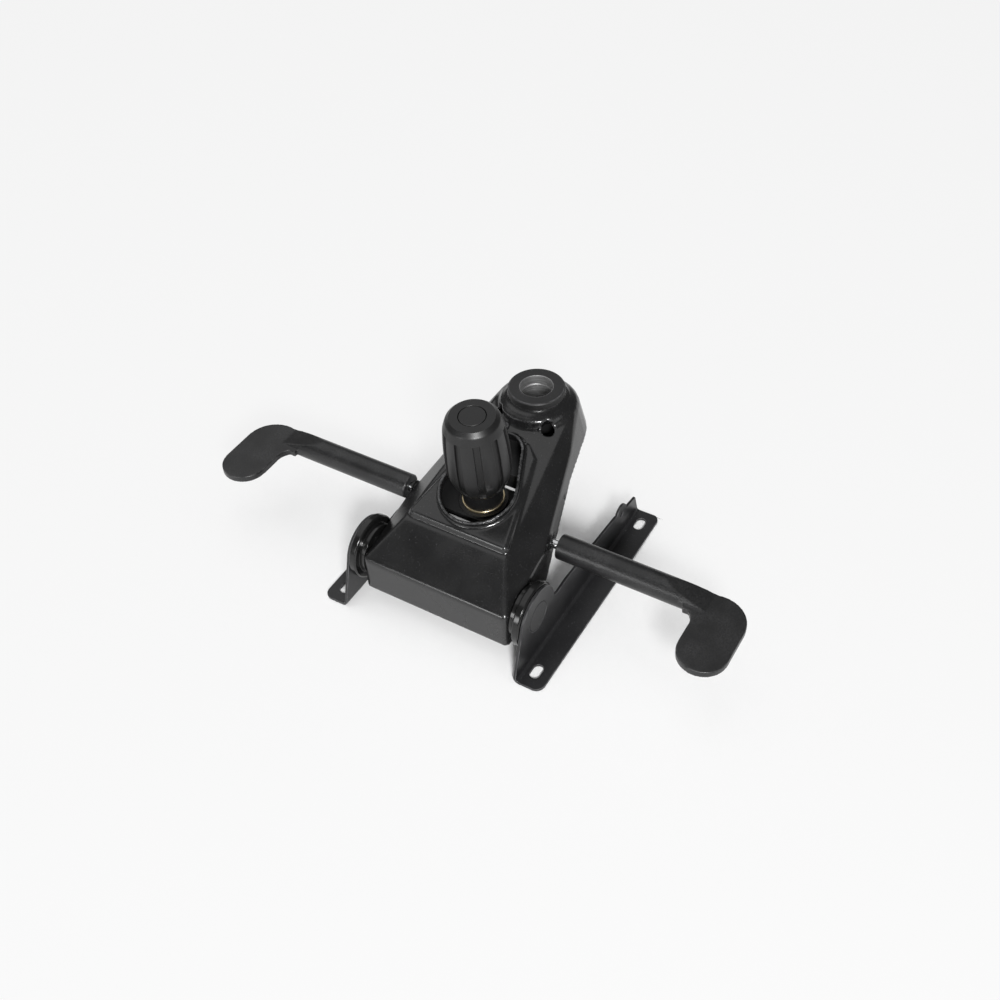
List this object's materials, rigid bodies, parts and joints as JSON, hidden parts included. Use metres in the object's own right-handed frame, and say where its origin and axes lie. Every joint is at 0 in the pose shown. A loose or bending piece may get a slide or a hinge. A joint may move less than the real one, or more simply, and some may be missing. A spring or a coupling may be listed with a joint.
{
  "type": "office chair tilt mechanism",
  "caption": "Front-pivot chair tilt mechanism with slotted seat rails, drawn housing, gas lift socket, tension knob, height lever and tilt lock lever.",
  "frame": {"origin": "centre of the four seat slots, on the plane where the rails meet the seat", "axes": "+X forward, +Y to the sitter's right, +Z away from the seat; in use the part hangs under the seat, so +Z points down there"},
  "size_m": [0.2334, 0.482, 0.1833],
  "materials": {
    "rail_coat": "satin black coating",
    "housing_coat": "semi-gloss black powder coat with fine orange peel",
    "socket_coat": "matte dark grey coating",
    "disc_coat": "matte dark grey coating",
    "bare_steel": "turned or sawn, oiled",
    "spring_steel": "oil-tempered wire",
    "zinc_steel": "bright zinc plate",
    "washer_brass": "rolled brass",
    "knob_plastic": "satin moulded plastic",
    "grip_plastic": "grained moulded plastic",
    "bush_plastic": "glossy moulded plastic"
  },
  "bodies": {
    "seat_frame": {"left_rail": "rail_coat", "right_rail": "rail_coat", "pivot_axle": "bare_steel", "left_axle_disc": "disc_coat", "right_axle_disc": "disc_coat", "spring_anchor": "bare_steel", "lock_sector": "bare_steel"},
    "tilt_housing": {"housing": "housing_coat", "gas_socket": "socket_coat", "socket_plate": "housing_coat", "knob_bridge": "housing_coat", "left_pivot_bush": "bush_plastic", "right_pivot_bush": "bush_plastic", "tilt_stop_pin": "bare_steel", "lock_rod_bush": "bush_plastic", "lever_bracket": "housing_coat", "lever_pivot_pin": "zinc_steel", "left_torsion_spring": "spring_steel", "right_torsion_spring": "spring_steel", "field_screw": "rail_coat", "lever_return_spring": "spring_steel"},
    "tension_adjuster": {"tension_screw": "zinc_steel", "tension_knob": "knob_plastic", "knob_cap": "knob_plastic", "knob_nut": "zinc_steel", "brass_washer": "washer_brass"},
    "yoke_carriage": {"spring_yoke": "bare_steel", "yoke_nut": "zinc_steel"},
    "height_lever": {"height_lever_rod": "zinc_steel", "height_lever_grip": "grip_plastic"},
    "lock_lever": {"lock_lever_rod": "zinc_steel", "lock_lever_grip": "grip_plastic", "lock_pawl": "bare_steel"}
  },
  "joints": [
    {"name": "seat_tilt", "type": "hinge", "parent": "seat_frame", "child": "tilt_housing", "pos_m": [0.073, 0, 0.043], "axis": [0, -1, 0], "range_deg": [0, 12], "stiffness_Nm_per_rad": 60, "springref_deg": -11.46, "deforming": ["left_torsion_spring", "right_torsion_spring"]},
    {"name": "knob_turn", "type": "hinge", "parent": "tilt_housing", "child": "tension_adjuster", "pos_m": [0.0135, 0, 0.085], "axis": [0.0872, 0, 0.9962], "range_deg": [0, 1080]},
    {"name": "yoke_slide", "type": "slide", "parent": "tilt_housing", "child": "yoke_carriage", "axis": [-0.0872, 0, -0.9962], "range_m": [0, 0.009], "deforming": ["left_torsion_spring", "right_torsion_spring"]},
    {"name": "height_lever_lift", "type": "hinge", "parent": "tilt_housing", "child": "height_lever", "pos_m": [0.0155, 0.056, 0.066], "axis": [-1, 0, 0], "range_deg": [0, 4], "stiffness_Nm_per_rad": 0.8, "springref_deg": -20.05, "deforming": ["lever_return_spring"]},
    {"name": "tilt_lock_turn", "type": "hinge", "parent": "tilt_housing", "child": "lock_lever", "pos_m": [0.0155, -0.06, 0.066], "axis": [0, -1, 0], "range_deg": [0, 24]}
  ],
  "couplings": [
    {"joint": "yoke_slide", "follows": "knob_turn", "m_per_rad": 0.000477}
  ]
}
